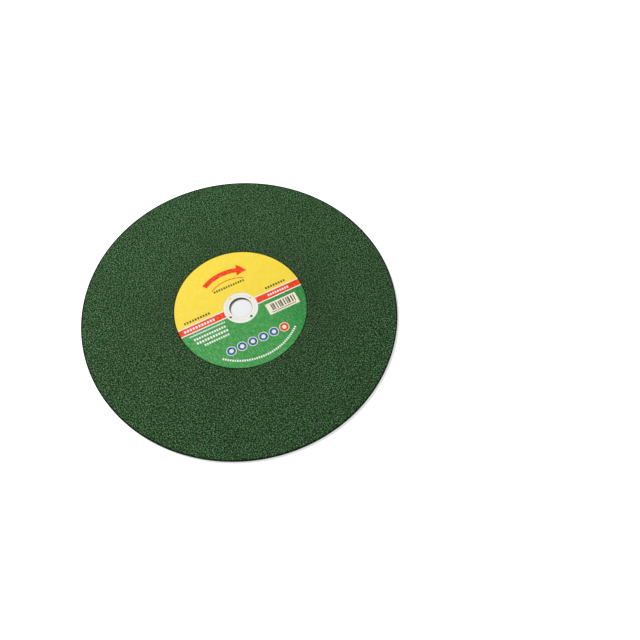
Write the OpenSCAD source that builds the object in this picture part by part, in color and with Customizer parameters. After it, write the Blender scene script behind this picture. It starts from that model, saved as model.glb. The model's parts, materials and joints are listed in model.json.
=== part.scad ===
// Cut-off wheel for a chop saw: a flat abrasive disc moulded from grain and resin, with a
// round paper label and a pressed metal ring set flush into the middle of its front face.
// The wheel lies on its back face with the label up. The origin is the centre of the bore
// in the plane of the back face, +Z runs along the bore and out through the label, and the
// label's printed band runs along X.

/* [Abrasive disc] */
// Outside diameter of the wheel
wheel_d = 355; // [200:1:400]
// Thickness of the wheel
wheel_t = 2.5; // [2:0.1:4]
// Radius on the two corners of the rim
rim_r = 0.3; // [0.1:0.05:0.8]

/* [Paper label] */
// Diameter of the label
label_d = 149; // [60:1:180]
// Thickness of the paper
label_t = 0.15; // [0.1:0.01:0.3]

/* [Bore ring] */
// Bore that slides on to the arbor of the saw
bore_d = 25.4; // [20:0.1:27]
// Outside diameter of the flange on the front face
flange_d = 39.5; // [38:0.5:56]
// Thickness of the sheet that the ring is pressed from
ring_t = 0.3; // [0.2:0.05:0.4]
// Radius of the bend from the flange into the bore, on the side that shows
bend_r = 1; // [0.6:0.1:1.4]
// Length of the straight sleeve below the bend
sleeve_l = 0.5; // [0.2:0.05:0.6]
// Width of the lip that is pressed down round the edge of the flange
lip_w = 1.8; // [1:0.1:2]
// How far the lip falls at its edge
lip_fall = 0.1; // [0.05:0.01:0.15]
// Number of holes pierced through the flange
anchor_count = 4; // [2:1:8]
// Diameter of each pierced hole
anchor_d = 2.9; // [1:0.1:3.5]
// Distance from the edge of the flange to the centre of each pierced hole
anchor_inset = 3.3; // [2:0.1:4]
// Turn of the pierced holes from the X axis, in degrees
anchor_turn = 21; // [0:1:89]

/* [Fit] */
// Clearance round each piece in its seat
seat_gap = 0.05; // [0.02:0.01:0.1]

/* [Hidden] */

// Facets on a full turn about the axis, and on the small radii of a section
$fn = 240;
section_fn = 48;
// How far a cutting tool runs past the face that it cuts
overrun = 1;

wheel_r = wheel_d / 2;
label_r = label_d / 2;
bore_r = bore_d / 2;
flange_r = flange_d / 2;

// Underside of the flange, and the centre of the bend in the ring's section
flange_z = wheel_t - ring_t;
bend_x = bore_r + bend_r;
bend_z = wheel_t - bend_r;
// Rounding on the edge of the lip
lip_edge_r = (ring_t - lip_fall) / 2;

// The paper dips under the flange at dip_r. The disc's seat drops with it at sink_r.
dip_r = flange_r + seat_gap;
sink_r = dip_r + label_t + seat_gap;
// Hole in the disc round the ring's sleeve, and the disc's own rounding under the bend
disc_hole_r = bore_r + ring_t + seat_gap;
disc_hole_edge_r = bend_r - ring_t - seat_gap;

// A rectangle in a section, from radius r0 to r1 and height z0 to z1
module span(r0, r1, z0, z1) {
    translate([r0, z0])
        square([r1 - r0, z1 - z0]);
}

// The corner between the bore and the front face that a bend of the given radius leaves empty
module bend_corner(r0, bend) {
    difference() {
        span(r0, bend_x, bend_z, wheel_t);
        translate([bend_x, bend_z])
            circle(bend, $fn = section_fn);
    }
}

// Plate with a rounded rim, before the seats are pressed into it
module plate_section() {
    span(disc_hole_r, wheel_r - rim_r, 0, wheel_t);
    span(disc_hole_r, wheel_r, rim_r, wheel_t - rim_r);
    for (z = [rim_r, wheel_t - rim_r])
        translate([wheel_r - rim_r, z])
            circle(rim_r, $fn = section_fn);
}

// Moulded disc: the label and the flange are pressed in flush with its front face
module abrasive_disc() {
    color([0.19, 0.31, 0.2])
        rotate_extrude()
            difference() {
                plate_section();
                span(0, label_r + seat_gap, wheel_t - label_t, wheel_t + overrun);
                span(0, sink_r, flange_z - label_t, wheel_t + overrun);
                bend_corner(disc_hole_r, disc_hole_edge_r);
            }
}

// One round sheet of paper, which steps down under the flange of the ring
module paper_label() {
    color([0.97, 0.85, 0.25])
        rotate_extrude() {
            span(dip_r, label_r, wheel_t - label_t, wheel_t);
            span(dip_r, dip_r + label_t, flange_z - label_t, wheel_t);
            span(bend_x, dip_r + label_t, flange_z - label_t, flange_z);
        }
}

// Section of the pressed ring: a flange with a lip that falls to its edge, a bend and a sleeve
module ring_section() {
    polygon([
        [bend_x, flange_z],
        [flange_r - lip_edge_r, flange_z],
        [flange_r - lip_edge_r, wheel_t - lip_fall],
        [flange_r - lip_w, wheel_t],
        [bend_x, wheel_t]
    ]);
    span(bend_x, flange_r, flange_z, flange_z + lip_edge_r);
    translate([flange_r - lip_edge_r, flange_z + lip_edge_r])
        circle(lip_edge_r, $fn = section_fn);
    difference() {
        span(bore_r, bend_x, bend_z, wheel_t);
        bend_corner(bore_r, bend_r);
        translate([bend_x, bend_z])
            circle(bend_r - ring_t, $fn = section_fn);
    }
    span(bore_r, bore_r + ring_t, bend_z - sleeve_l, bend_z);
}

// Ring pressed from sheet metal, with the holes that the paper shows through
module bore_ring() {
    color([0.86, 0.85, 0.82])
        difference() {
            rotate_extrude()
                ring_section();
            for (i = [0 : anchor_count - 1])
                rotate([0, 0, anchor_turn + i * 360 / anchor_count])
                    translate([flange_r - anchor_inset, 0, flange_z - overrun])
                        cylinder(d = anchor_d, h = ring_t + 2 * overrun);
        }
}

abrasive_disc();
paper_label();
bore_ring();
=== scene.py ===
import json
from math import cos, pi, radians, sin

import bmesh
import bpy
from mathutils import Matrix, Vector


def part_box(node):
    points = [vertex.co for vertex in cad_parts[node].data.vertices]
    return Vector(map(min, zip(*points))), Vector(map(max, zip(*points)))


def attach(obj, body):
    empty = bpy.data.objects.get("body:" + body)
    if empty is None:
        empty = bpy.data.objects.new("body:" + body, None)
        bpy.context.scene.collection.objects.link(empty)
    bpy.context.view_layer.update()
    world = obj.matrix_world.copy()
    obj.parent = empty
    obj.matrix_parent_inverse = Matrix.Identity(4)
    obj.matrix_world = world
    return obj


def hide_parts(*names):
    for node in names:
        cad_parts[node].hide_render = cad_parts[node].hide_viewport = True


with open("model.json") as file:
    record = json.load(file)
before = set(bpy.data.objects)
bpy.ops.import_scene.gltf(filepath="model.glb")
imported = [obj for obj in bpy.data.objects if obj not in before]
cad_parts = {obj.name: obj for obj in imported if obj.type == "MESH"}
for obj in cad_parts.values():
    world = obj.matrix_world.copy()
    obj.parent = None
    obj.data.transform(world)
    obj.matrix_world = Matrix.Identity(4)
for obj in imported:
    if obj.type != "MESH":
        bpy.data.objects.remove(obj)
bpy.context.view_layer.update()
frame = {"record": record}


# Abrasive disc
# Grain and resin, pressed in a mould and cured as one flat wheel. Both faces and the rim are rough
# with grain, and the front has a shallow round seat for the label and the ring.
MM = 0.001
wheel_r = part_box("abrasive_disc")[1].x
front_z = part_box("abrasive_disc")[1].z
label_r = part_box("paper_label")[1].x
paper_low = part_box("paper_label")[0].z
flange_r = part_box("bore_ring")[1].x
bore_r = frame["record"]["mounts"][0]["dims"]["r_mm"] * MM

sheet_t = 0.3 * MM
paper_t = 0.15 * MM
seat_gap = 0.05 * MM
bend_r = 1 * MM
rim_round = 0.3 * MM

# The paper dips under the flange at dip_r, and the disc's seat drops with it at sink_r
seat_r = label_r + seat_gap
seat_z = front_z - paper_t
dip_r = flange_r + seat_gap
sink_r = dip_r + paper_t + seat_gap
bend_x = bore_r + bend_r
bend_z = front_z - bend_r
disc_hole_r = bore_r + sheet_t + seat_gap
disc_bend_r = bend_r - sheet_t - seat_gap
face_edge_r = wheel_r - rim_round

# Points closer than merge_gap become one, and points within touching of a place count as there
merge_gap = 0.002 * MM
touching = 0.01 * MM


def arc(centre_r, centre_z, radius, start, end, steps):
    """Points of a section along an arc, from one angle to another in degrees."""
    angles = [radians(start + (end - start) * i / steps) for i in range(steps + 1)]
    return [(centre_r + radius * cos(a), centre_z + radius * sin(a)) for a in angles]


def turned(name, turns, section):
    """Turns a closed section of (radius, height) points round the Z axis, and stays in edit mode."""
    bpy.ops.object.select_all(action="DESELECT")
    radius, height = section[0]
    bpy.ops.mesh.primitive_circle_add(vertices=turns, radius=radius, location=(0, 0, height))
    piece = bpy.context.object
    piece.name = name
    bpy.ops.object.transform_apply(location=True, rotation=False, scale=False)
    bpy.ops.object.mode_set(mode="EDIT")
    for next_radius, next_height in section[1:] + section[:1]:
        rise = (0, 0, next_height - height)
        grow = next_radius / radius
        bpy.ops.mesh.extrude_edges_move(TRANSFORM_OT_translate={"value": rise})
        bpy.ops.transform.resize(value=(grow, grow, 1), center_override=(0, 0, 0))
        radius, height = next_radius, next_height
    bpy.ops.mesh.select_all(action="SELECT")
    bpy.ops.mesh.remove_doubles(threshold=merge_gap)
    bpy.ops.mesh.normals_make_consistent(inside=False)
    return piece


def reach(point):
    """How far a point is from the wheel's axis."""
    return point.xy.length


def cut_rings(piece, inner, outer, height, cuts):
    """Cuts even rings into a flat face that runs from one radius to another."""
    bpy.ops.mesh.select_mode(type="EDGE")
    bpy.ops.mesh.select_all(action="DESELECT")
    mesh = bmesh.from_edit_mesh(piece.data)
    for edge in mesh.edges:
        near, far = sorted(reach(v.co) for v in edge.verts)
        flat = all(abs(v.co.z - height) < touching for v in edge.verts)
        edge.select_set(flat and abs(near - inner) < touching and abs(far - outer) < touching)
    bmesh.update_edit_mesh(piece.data)
    bpy.ops.mesh.subdivide(number_cuts=cuts)


def shake_points(piece, wanted, sway, seed):
    """Selects the points that pass a test of their place, and moves each at random by up to sway."""
    bpy.ops.mesh.select_mode(type="VERT")
    bpy.ops.mesh.select_all(action="DESELECT")
    mesh = bmesh.from_edit_mesh(piece.data)
    for point in mesh.verts:
        point.select_set(wanted(point.co))
    mesh.select_flush_mode()
    bmesh.update_edit_mesh(piece.data)
    bpy.ops.transform.vertex_random(offset=sway, uniform=0, normal=0, seed=seed)


def roughen_face(piece, height, outward, inner, outer, depth, sway, seed):
    """Shakes a flat face between two radii, and flattens it so that no point stands out of it.

    The face looks up where outward is 1, and down where it is -1.
    """
    shake_points(piece, lambda p: abs(p.z - height) < touching and inner < reach(p) < outer, sway, seed)
    flatten = depth / sway
    still_z = height - outward * depth / (1 - flatten)
    bpy.ops.transform.resize(value=(1, 1, flatten), center_override=(0, 0, still_z))


face_turns = 520
front_rings = 76
back_rings = 84
corner_steps = 3
wall_rings = (0.4, 0.6)
# Where the rounding of the hole meets the floor of the seat, in degrees
hole_corner_start = 122

disc_section = [(disc_hole_r, 0), (face_edge_r, 0)]
disc_section += arc(face_edge_r, rim_round, rim_round, -90, 0, corner_steps)[1:]
disc_section += [(wheel_r, front_z * share) for share in wall_rings]
disc_section += arc(face_edge_r, front_z - rim_round, rim_round, 0, 90, corner_steps)
disc_section += [(seat_r, front_z), (seat_r, seat_z), (sink_r, seat_z), (sink_r, paper_low)]
disc_section += arc(bend_x, bend_z, disc_bend_r, hole_corner_start, 180, corner_steps)
disc = turned("abrasive_disc_body", face_turns, disc_section)
cut_rings(disc, seat_r, face_edge_r, front_z, front_rings)
cut_rings(disc, disc_hole_r, face_edge_r, 0, back_rings)

# The edges of each face stay flat, and so does the middle of the back, round the bore
edge_band = 1 * MM
rough_end = face_edge_r - edge_band
back_start = 3 * disc_hole_r
grain_depth = 0.08 * MM
grain_sway = 0.42 * MM
roughen_face(disc, front_z, 1, seat_r + edge_band, rough_end, grain_depth, grain_sway, seed=3)
roughen_face(disc, 0, -1, back_start, rough_end, grain_depth, grain_sway, seed=5)

# The rim is chipped, and drawn in so that no point stands out of it
chip = 0.12 * MM
rim_margin = rim_round / 4
draw_in = 1 - 1.2 * chip / wheel_r
draw_low = 0.9
shake_points(
    disc,
    lambda p: reach(p) > face_edge_r + touching and rim_margin < p.z < front_z - rim_margin,
    chip, seed=9,
)
bpy.ops.transform.resize(value=(draw_in, draw_in, draw_low), center_override=(0, 0, front_z / 2))
bpy.ops.object.mode_set(mode="OBJECT")


class Value:
    """Wraps a socket of a material, so that shader maths reads as plain expressions."""

    def __init__(self, socket):
        self.socket = socket

    def node(self, kind, settings, inputs, output=0):
        """Adds a node, with its settings first and then a value or a link for each input."""
        tree = self.socket.id_data
        made = tree.nodes.new(kind)
        for name, setting in settings.items():
            setattr(made, name, setting)
        for name, given in inputs.items():
            if isinstance(given, Value):
                tree.links.new(given.socket, made.inputs[name])
            else:
                made.inputs[name].default_value = given
        return Value(made.outputs[output])

    def also(self, output):
        """Another output of the node that this value comes from."""
        return Value(self.socket.node.outputs[output])

    def math(self, operation, *others):
        return self.node("ShaderNodeMath", {"operation": operation}, dict(enumerate((self, *others))))

    def vector(self, operation, *others, output="Vector"):
        inputs = dict(enumerate((self, *others)))
        return self.node("ShaderNodeVectorMath", {"operation": operation}, inputs, output)

    def length(self):
        return self.vector("LENGTH", output="Value")

    def part(self, axis):
        return self.node("ShaderNodeSeparateXYZ", {}, {0: self}, axis)

    def clamped(self):
        return self.node("ShaderNodeClamp", {}, {"Value": self})

    def ramp(self, stops):
        """A colour that runs through (position, colour) stops as this value grows."""
        made = self.node("ShaderNodeValToRGB", {}, {"Fac": self})
        elements = made.socket.node.color_ramp.elements
        elements[0].position, elements[0].color = stops[0]
        elements[-1].position, elements[-1].color = stops[-1]
        for position, colour in stops[1:-1]:
            elements.new(position).color = colour
        return made

    def mix(self, off, on):
        """A colour that is off where this value is 0, and on where it is 1.

        The sockets of a Mix node share names, so they go by number: 0 is the factor, 6 and 7 are the
        two colours, and output 2 is the mixed one.
        """
        return self.node("ShaderNodeMix", {"data_type": "RGBA"}, {0: self, 6: off, 7: on}, 2)

    def dyed(self, tint):
        """This colour times another."""
        settings = {"data_type": "RGBA", "blend_type": "MULTIPLY"}
        return self.node("ShaderNodeMix", settings, {0: 1, 6: self, 7: tint}, 2)

    def into(self, shader, name):
        self.socket.id_data.links.new(self.socket, shader.inputs[name])

    def bump(self, shader, strength, distance):
        """Takes this value as the height of a fine relief."""
        inputs = {"Strength": strength, "Distance": distance, "Height": self}
        self.node("ShaderNodeBump", {}, inputs).into(shader, "Normal")

    def __add__(self, other):
        return self.math("ADD", other)

    def __sub__(self, other):
        return self.math("SUBTRACT", other)

    def __rsub__(self, other):
        return (self * -1) + other

    def __mul__(self, other):
        return self.math("MULTIPLY", other)

    def __truediv__(self, other):
        return self.math("DIVIDE", other)

    def __mod__(self, other):
        return self.math("FLOORED_MODULO", other)

    def __abs__(self):
        return self.math("ABSOLUTE")

    def __lt__(self, other):
        return self.math("LESS_THAN", other)

    def __gt__(self, other):
        return self.math("GREATER_THAN", other)

    def __or__(self, other):
        return self.math("MAXIMUM", other)

    __radd__ = __add__


def new_finish(name):
    """A new material, its shader, and the place of each point on the piece."""
    material = bpy.data.materials.new(name)
    material.use_nodes = True
    nodes = material.node_tree.nodes
    return material, nodes["Principled BSDF"], Value(nodes.new("ShaderNodeTexCoord").outputs["Object"])


def shade(red, green, blue):
    """The linear colour of a shade that is given as a screen shows it, from 0 to 255."""
    def linear(v):
        v = v / 255
        return v / 12.92 if v < 0.04045 else ((v + 0.055) / 1.055) ** 2.4
    return (linear(red), linear(green), linear(blue), 1)


def voronoi(place, size, output):
    settings = {"voronoi_dimensions": "3D", "feature": "F1"}
    return place.node("ShaderNodeTexVoronoi", settings, {"Vector": place, "Scale": 1 / size}, output)


def noise(place, size, detail, dimensions="3D"):
    inputs = {"Vector": place, "Scale": 1 / size, "Detail": detail}
    return place.node("ShaderNodeTexNoise", {"noise_dimensions": dimensions}, inputs)


abrasive, abrasive_shader, place = new_finish("abrasive_grain")
grain_size = 0.6 * MM
cluster_size = 1.2 * MM
fine_size = 0.4 * MM
drift_size = 60 * MM

grain = voronoi(place, grain_size, "Color")
pick = grain.node("ShaderNodeSeparateColor", {}, {"Color": grain}, "Red")
hue = pick.also("Green")
rare = pick.also("Blue")
gap_start, gap_slope, gap_shade = 0.45, 2.5, 0.7
gap = ((grain.also("Distance") - gap_start) * gap_slope).clamped()
fine = noise(place, fine_size, 2)

# Grains lie close in small clusters, so each takes its tone from a flat noise at its own middle.
# The noise moves outwards with height, so that it isn't drawn into stripes on the wall of the rim
outwards = place.vector("NORMALIZE").vector("MULTIPLY", place.part("Z"))
middle = grain.also("Position").vector("ADD", outwards)
cluster = noise(middle, cluster_size, 0, "2D")
cluster_share, pick_share, fine_share, base_tone = 1.6, 0.1, 0.2, 0.43
tone = (cluster - 0.5) * cluster_share + (pick - 0.5) * pick_share + fine * fine_share + base_tone
grains = tone.ramp([
    (0.0, shade(0, 14, 0)),
    (0.25, shade(4, 30, 5)),
    (0.55, shade(52, 86, 52)),
    (0.8, shade(92, 128, 92)),
    (1.0, shade(126, 158, 124)),
])

# Some grains are purer green and some greyer. They turn brown in wide drifts, and round the label
purer, greyer = (0.6, 1.1, 0.62, 1), (1.4, 0.92, 1.28, 1)
grains = grains.dyed(hue.mix(purer, greyer))
from_middle = place.length()
front_low = 0.7 * front_z
on_front = place.part("Z") > front_low
drift_start, drift_share = 0.48, 1.6
halo_reach, halo_share = 1.9, 0.25
halo = (halo_reach - from_middle / label_r).math("MAXIMUM", 0) * on_front
brown = (noise(place, drift_size, 3) - drift_start) * drift_share * hue + halo * halo_share
grains = brown.clamped().mix(grains, shade(56, 64, 46))
rust_start = 0.99995
grains = (rare > rust_start).mix(grains, shade(150, 92, 40))
grains = (gap * gap_shade).mix(grains, shade(2, 14, 3))

# Dark is painted as shade in a thin line round the label's seat, and on the front corner of the rim
seat_shade_half, seat_shade_strength = 1.2 * MM, 0.65
rim_shade_w, rim_shade_low, rim_shade_strength = 1.6 * MM, 0.9 * front_z, 0.8
seat_shade_line = (abs(from_middle - seat_r) < seat_shade_half) * on_front
grains = (seat_shade_line * seat_shade_strength).mix(grains, shade(10, 22, 13))
# The front corner of the rim is painted dark, as shade along the wheel's edge
rim_shade_line = (from_middle > wheel_r - rim_shade_w) * (place.part("Z") > rim_shade_low)
grains = (rim_shade_line * rim_shade_strength).mix(grains, shade(2, 12, 4))
grains.into(abrasive_shader, "Base Color")
smoothest, roughness_range = 0.7, 0.25
(smoothest + hue * roughness_range).into(abrasive_shader, "Roughness")
abrasive_shader.inputs["Specular IOR Level"].default_value = 0.05

# Each grain is a crushed chip, so its top leans its own way
lean = grain.vector("SUBTRACT", (0.5, 0.5, 0.5))
from_grain = place.vector("SUBTRACT", grain.also("Position"))
slope = from_grain.vector("DOT_PRODUCT", lean, output="Value") / grain_size
fine_relief, gap_relief = 0.15, 0.3
chips = slope + fine * fine_relief - gap * gap_relief
chips.bump(abrasive_shader, strength=0.8, distance=0.8 * grain_size)
disc.data.materials.append(abrasive)

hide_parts("abrasive_disc")
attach(disc, "root")


# Paper label
# One round sheet of coated paper, printed in flat inks and pressed into the disc as it cured, so the
# grain and the glass net under it show as a faint relief. It steps down under the flange of the ring.
label_turns = 360
label_rings = 44
flange_z = front_z - sheet_t
label_section = [(label_r, seat_z), (label_r, front_z), (dip_r, front_z), (dip_r, flange_z)]
label_section += [(bend_x, flange_z), (bend_x, paper_low)]
label_section += [(dip_r + paper_t, paper_low), (dip_r + paper_t, seat_z)]
label = turned("paper_label_sheet", label_turns, label_section)
cut_rings(label, dip_r, label_r, front_z, label_rings)
paper_depth = 0.015 * MM
paper_sway = 0.25 * MM
roughen_face(label, front_z, 1, dip_r + edge_band, label_r - edge_band, paper_depth, paper_sway, seed=7)
bpy.ops.object.mode_set(mode="OBJECT")

printed, printed_shader, place = new_finish("printed_paper")
yellow = shade(248, 218, 62)
green = shade(60, 153, 72)
deep_yellow = shade(255, 228, 0)
hole_shade_green = shade(0, 112, 4)
shaded_green = shade(36, 128, 58)
red = shade(238, 62, 0)
blue = shade(0, 98, 170)
white = shade(244, 243, 236)
cream = shade(243, 234, 210)
olive = shade(78, 72, 30)
black = shade(40, 38, 36)

# The print is laid out in millimetres from the wheel's axis, with its edges a little unsteady.
# Angles run clockwise from the top, in degrees, and anticlockwise from the bottom, in radians
wobble_size, wobble_reach = 1.5 * MM, 0.3
wobble = noise(place, wobble_size, 2) * wobble_reach - wobble_reach / 2
x = place.part("X") / MM + wobble
y = place.part("Y") / MM + wobble
from_axis = (x * x + y * y).math("SQRT")
from_top = x.math("ARCTAN2", y) * (180 / pi)
from_bottom = x.math("ARCTAN2", y * -1)


def block(along, across, start, end, middle, height):
    """A bar from start to end, which stands half its height to each side of its middle line."""
    return (along > start) * (along < end) * (abs(across - middle) < height / 2)


def dashes(along, across, start, count, middle, height):
    """A row of dashes from start, each a little higher than it is long."""
    dash, pitch = 0.75 * height, 1.15 * height
    row = block(along, across, start, start + count * pitch, middle, height)
    return row * ((along - start) % pitch < dash)


# An arrow for the turning direction, with a line under it
arrow_r, arrow_w, head_half = 50, 6, 7.5
tail, neck, tip = -31, 19, 33
line_r, line_w, line_end = 39.5, 1.1, tip - 4
shaft = block(from_top, from_axis, tail, neck, arrow_r, arrow_w)
head = (from_top > neck) * (from_top < tip)
head = head * (abs(from_axis - arrow_r) < (tip - from_top) * (head_half / (tip - neck)))
under_line = block(from_top, from_axis, tail, line_end, line_r, line_w)

# A row of round dots, the last one red
dot_pitch, dot_count, first_dot, dot_y = 12.94, 6, -32.2, -44.6
dot_edge_r, dot_r, dot_eye_r = 5.7, 4.9, 2.4
row_start = first_dot - dot_pitch / 2
dot_row = (x > row_start) * (x < row_start + dot_count * dot_pitch)
dot_x = (x - row_start) % dot_pitch - dot_pitch / 2
dot_span = (dot_x * dot_x + (y - dot_y) * (y - dot_y)).math("SQRT")
last_dot = x > row_start + (dot_count - 1) * dot_pitch

# A pale panel with upright bars, wide and narrow
bars_start = 29.5
wide_pitch, wide_bar = 3.1, 1.2
narrow_pitch, narrow_bar = 4.7, 0.8
panel = block(x, y, 25.5, 63, -17, 14.6)
bars = (x % wide_pitch < wide_bar) | (x % narrow_pitch < narrow_bar)
bars = block(x, y, bars_start, 60, -15.8, 8.6) * bars | dashes(x, y, bars_start, 20, -22, 1.3)

# Rows of dashes: start, count, middle line, height and colour
dash_rows = [
    (-19, 13, 31.5, 2.6, olive),
    (-65, 10, 9.6, 2.8, olive),
    (35.5, 8, 9.6, 2.8, olive),
    (-69, 11, 0, 3.0, white),
    (34, 9, 0, 2.6, white),
    (-66, 22, -8.5, 1.7, white),
    (-63, 13, -13.7, 2.6, white),
    (-62, 12, -19.0, 2.8, white),
    (-55, 11, -24.5, 2.4, white),
]
foot_r = 66

# Each layer of print covers the ones before it. The band runs across, with a white line on each side
band_half = 3.9
line_half = 5.1
under_flange = from_axis < flange_r / MM
layers = [
    (y > 0, yellow),
    # Under the flange, where its holes show the paper, the green is painted dark as shade in the holes,
    # and the yellow is a purer yellow
    (under_flange, hole_shade_green),
    (under_flange * (y > 0), deep_yellow),
    (abs(y) < line_half, white),
    (abs(y) < band_half, red),
    (shaft | head | under_line, red),
]
layers += [(dashes(x, y, *row), colour) for *row, colour in dash_rows]
layers += [
    (dashes(from_bottom * foot_r, from_axis, -49, 37, foot_r, 2.3), white),
    (panel, cream),
    (bars, black),
    (dot_row * (dot_span < dot_edge_r), cream),
    (dot_row * (dot_span < dot_r), blue),
    (dot_row * last_dot * (dot_span < dot_r), red),
    (dot_row * (dot_span < dot_eye_r), cream),
]
# The green is painted darker towards the right, as shade
green_shade_start, green_shade_span = 25, 50
ink = ((x - green_shade_start) / green_shade_span).clamped().mix(green, shaded_green)
for covered, colour in layers:
    ink = covered.mix(ink, colour)
blotch_size, blotch_share = 6 * MM, 0.12
fleck_size, fleck_share = 0.7 * MM, 0.1
even_share = 0.89
mottle = noise(place, blotch_size, 3) * blotch_share + noise(place, fleck_size, 1) * fleck_share
ink = ink.dyed(mottle + even_share)
sheen_size = 3 * MM
smoothest, roughness_range = 0.4, 0.2
(smoothest + noise(place, sheen_size, 2) * roughness_range).into(printed_shader, "Roughness")
printed_shader.inputs["Specular IOR Level"].default_value = 0.05

# The glass net is woven, so its strands pass over and under each other
net_pitch, net_turn, net_weave = 3.2 * MM, -13, 0.4
strands = place.node("ShaderNodeMapping", {}, {"Vector": place, "Rotation": (0, 0, radians(net_turn))})
warp = (strands.part("X") * (pi / net_pitch)).math("COSINE")
weft = (strands.part("Y") * (pi / net_pitch)).math("COSINE")
over = warp * weft * net_weave
ribs = (warp * warp + over) | (weft * weft - over)

# Fine streaks run both ways along the strands, and wandering lines run along the warp
streak_w, stretch = 1 * MM, 0.2
down = noise(strands.vector("MULTIPLY", (1, stretch, 1)), streak_w, 0, "2D")
along = noise(strands.vector("MULTIPLY", (stretch, 1, 1)), streak_w, 0, "2D")
line_pitch = 2.5 * MM
wander_size, wander_reach = 9 * MM, 5 * MM
wander = noise(place, wander_size, 1) * wander_reach
lines = ((strands.part("X") + wander) * (2 * pi / line_pitch)).math("SINE")
down_share, along_share, line_share, base_streak = 0.6, 0.2, 0.16, 0.1
streaks = down * down_share + along * along_share + lines * along * line_share + base_streak
tooth_size, tooth_share, rib_share = 0.9 * MM, 0.5, 0.4
press = ribs * rib_share + streaks + noise(place, tooth_size, 3) * tooth_share
press.bump(printed_shader, strength=0.7, distance=0.1 * MM)

# White is painted over the ink as a sheen: on the high streaks, more towards the left, and none under
# the flange
speckle_size = 0.3 * MM
sheen_span, sheen_share = 1.2 * label_r / MM, 0.026
painted_sheen = (streaks - 0.5) * noise(place, speckle_size, 1) + (1 - x / sheen_span) * sheen_share
painted_sheen = painted_sheen * (1 - under_flange)
painted_sheen.clamped().mix(ink, white).into(printed_shader, "Base Color")
label.data.materials.append(printed)

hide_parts("paper_label")
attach(label, "root")


# Bore ring
# Pressed from thin bright sheet metal: a flat flange on the front of the wheel, a round bend and a
# short sleeve down the bore. Four holes pierced through the flange show the label under it.
sleeve_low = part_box("bore_ring")[0].z
lip_w = 1.8 * MM
lip_fall = 0.1 * MM
lip_edge_r = (sheet_t - lip_fall) / 2
ring_turns = 240
bend_steps = 10
lip_steps = 4
ring_section = [(bore_r, sleeve_low)]
ring_section += arc(bend_x, bend_z, bend_r, 180, 90, bend_steps)
ring_section += [(flange_r - lip_w, front_z)]
ring_section += arc(flange_r - lip_edge_r, flange_z + lip_edge_r, lip_edge_r, 90, 0, lip_steps)
ring_section += [(flange_r, flange_z)]
ring_section += arc(bend_x, bend_z, bend_r - sheet_t, 90, 180, bend_steps)
ring_section += [(bore_r + sheet_t, sleeve_low)]
ring = turned("bore_ring_pressed", ring_turns, ring_section)
bpy.ops.object.mode_set(mode="OBJECT")


def apply_modifier(piece, kind, **settings):
    """Adds a modifier to the piece and applies it."""
    modifier = piece.modifiers.new(kind, kind)
    for name, setting in settings.items():
        setattr(modifier, name, setting)
    bpy.context.view_layer.objects.active = piece
    bpy.ops.object.modifier_apply(modifier=modifier.name)


hole_r = 1.45 * MM
hole_inset = 3.3 * MM
hole_circle_r = flange_r - hole_inset
hole_count = 4
hole_turn = 21
hole_sides = 48
punch_l = 1.2 * MM
for i in range(hole_count):
    angle = radians(hole_turn + i * 360 / hole_count)
    hole_place = (hole_circle_r * cos(angle), hole_circle_r * sin(angle), flange_z)
    bpy.ops.mesh.primitive_cylinder_add(
        vertices=hole_sides, radius=hole_r, depth=punch_l, location=hole_place
    )
    punch = bpy.context.object
    apply_modifier(ring, "BOOLEAN", operation="DIFFERENCE", object=punch, solver="EXACT")
    bpy.data.objects.remove(punch)
soft_edge = 0.05 * MM
apply_modifier(
    ring, "BEVEL", width=soft_edge, segments=2, limit_method="ANGLE", angle_limit=radians(40)
)
bpy.ops.object.select_all(action="DESELECT")
ring.select_set(True)
bpy.ops.object.shade_smooth_by_angle(angle=radians(30))

# The flange is clouded and smudged, with a painted highlight along the bend and on the lip, and painted
# shade down the bore
metal, metal_shader, place = new_finish("bright_sheet_metal")
cloud_size = 5 * MM
cloud = noise(place, cloud_size, 4)
from_middle = place.length()
ring_tone = cloud.mix(shade(226, 224, 210), shade(244, 242, 230))
# A painted highlight runs round the bend
bend_highlight_r, bend_highlight_half, bend_highlight_strength = bend_x + 0.3 * MM, 0.5 * MM, 0.8
bend_highlight = abs(from_middle - bend_highlight_r) < bend_highlight_half
ring_tone = (bend_highlight * bend_highlight_strength).mix(ring_tone, shade(254, 253, 248))
smudge_size, smudge_start, smudge_shade = 3 * MM, 0.66, 0.6
smudge = noise(place, smudge_size, 2) > smudge_start
ring_tone = (smudge * smudge_shade).mix(ring_tone, shade(206, 206, 202))
# The lip is painted brighter, as a highlight
lip_highlight = from_middle > flange_r - lip_w
ring_tone = lip_highlight.mix(ring_tone, shade(244, 242, 238))
# The bend and the sleeve are painted dark down the bore, as shade
bore_shade_from, bore_shade_over = front_z - 0.05 * MM, 0.45 * bend_r
depth = (bore_shade_from - place.part("Z")) / bore_shade_over
depth.clamped().mix(ring_tone, shade(14, 14, 16)).into(metal_shader, "Base Color")
metal_shader.inputs["Metallic"].default_value = 1
smoothest, roughness_range = 0.25, 0.2
(smoothest + cloud * roughness_range).into(metal_shader, "Roughness")
dent_size = 2.2 * MM
noise(place, dent_size, 3).bump(metal_shader, strength=0.2, distance=0.05 * MM)
ring.data.materials.append(metal)

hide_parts("bore_ring")
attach(ring, "root")


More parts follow.
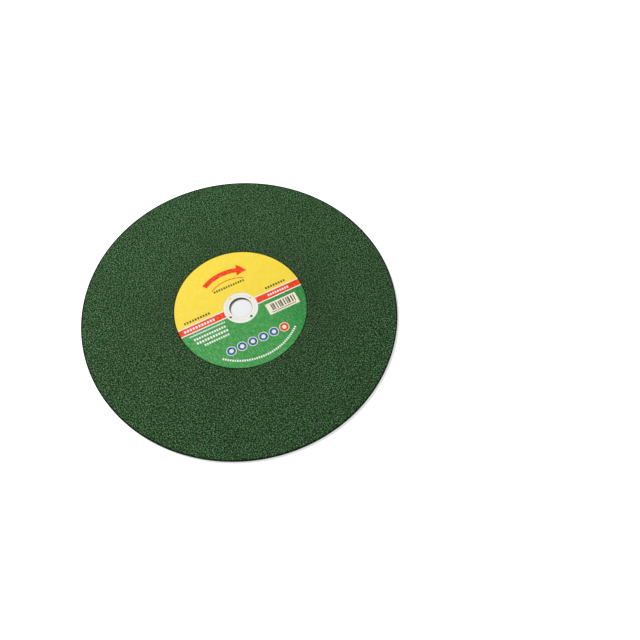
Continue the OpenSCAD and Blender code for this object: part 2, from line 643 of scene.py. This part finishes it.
# Floor and light
# A plain white studio floor under a soft lamp from the back left, with white all round.
floor_size = 30
floor_drop = 0.02 * MM
bpy.ops.object.select_all(action="DESELECT")
bpy.ops.mesh.primitive_plane_add(size=floor_size, location=(0, 0, -floor_drop))
floor = bpy.context.object
floor.name = "studio_floor"
floor_finish, floor_shader, place = new_finish("studio_floor_white")
floor_shader.inputs["Base Color"].default_value = (0.88, 0.88, 0.9, 1)
floor_shader.inputs["Roughness"].default_value = 1
floor_shader.inputs["Specular IOR Level"].default_value = 0
floor_shader.inputs["Emission Strength"].default_value = 1


def shown_rays(tree):
    """1 for the rays that show a surface, seen straight, in a reflection or through another one."""
    path = Value(tree.nodes.new("ShaderNodeLightPath").outputs["Is Camera Ray"])
    return path | path.also("Is Glossy Ray") | path.also("Is Transmission Ray")


# The floor glows for the eye alone, so that it is white far out and its shadows are pale. It doesn't
# glow under the wheel, where it shows through the bore
glow_start, glow_span, near_glow = 1.2 * wheel_r, 2 * wheel_r, 0.58
from_middle = place.length()
far = ((from_middle - glow_start) / glow_span).clamped()
glow = (from_middle > wheel_r / 2) * (near_glow + far * (1 - near_glow))
(shown_rays(floor_finish.node_tree) * glow).into(floor_shader, "Emission Color")
floor.data.materials.append(floor_finish)

ambient = 0.24
world = bpy.context.scene.world or bpy.data.worlds.new("studio")
bpy.context.scene.world = world
world.use_nodes = True
background = world.node_tree.nodes["Background"]
background.inputs["Color"].default_value = (1, 1, 1, 1)
(ambient + shown_rays(world.node_tree) * (1 - ambient)).into(background, "Strength")
world.cycles.sampling_method = "NONE"

# The lamp gives a level white surface the light that the white all round leaves it short of
lamp_height = 45
lamp_heading = 25
lamp_distance = 1.8
lamp = bpy.data.objects.new("key_lamp", bpy.data.lights.new("key_lamp", "AREA"))
lamp.data.size = 0.3
lamp.visible_glossy = False
lamp.data.energy = (1 - ambient) * (pi * lamp_distance) ** 2 / sin(radians(lamp_height))
lamp_turn = Matrix.Rotation(radians(lamp_heading), 4, "Z")
lamp_turn = lamp_turn @ Matrix.Rotation(radians(lamp_height - 90), 4, "X")
lamp.matrix_world = lamp_turn @ Matrix.Translation((0, 0, lamp_distance))
bpy.context.scene.collection.objects.link(lamp)


# Camera
# Looks down on the wheel as the photographer did.
camera_place = (-113.4 * MM, -368.1 * MM, 693.5 * MM)
camera_heading, camera_tilt, camera_roll = -30.65, 27.73, 2.65
camera = bpy.data.objects.new("camera", bpy.data.cameras.new("camera"))
camera.data.sensor_width = 36
camera.data.lens = 39.12
turn = Matrix.Rotation(radians(camera_heading), 3, "Z")
turn = turn @ Matrix.Rotation(radians(camera_tilt), 3, "X")
turn = turn @ Matrix.Rotation(radians(camera_roll), 3, "Z")
camera.location = camera_place
camera.rotation_euler = turn.to_euler()
bpy.context.scene.collection.objects.link(camera)
bpy.context.scene.camera = camera
bpy.context.scene.view_settings.view_transform = "Standard"
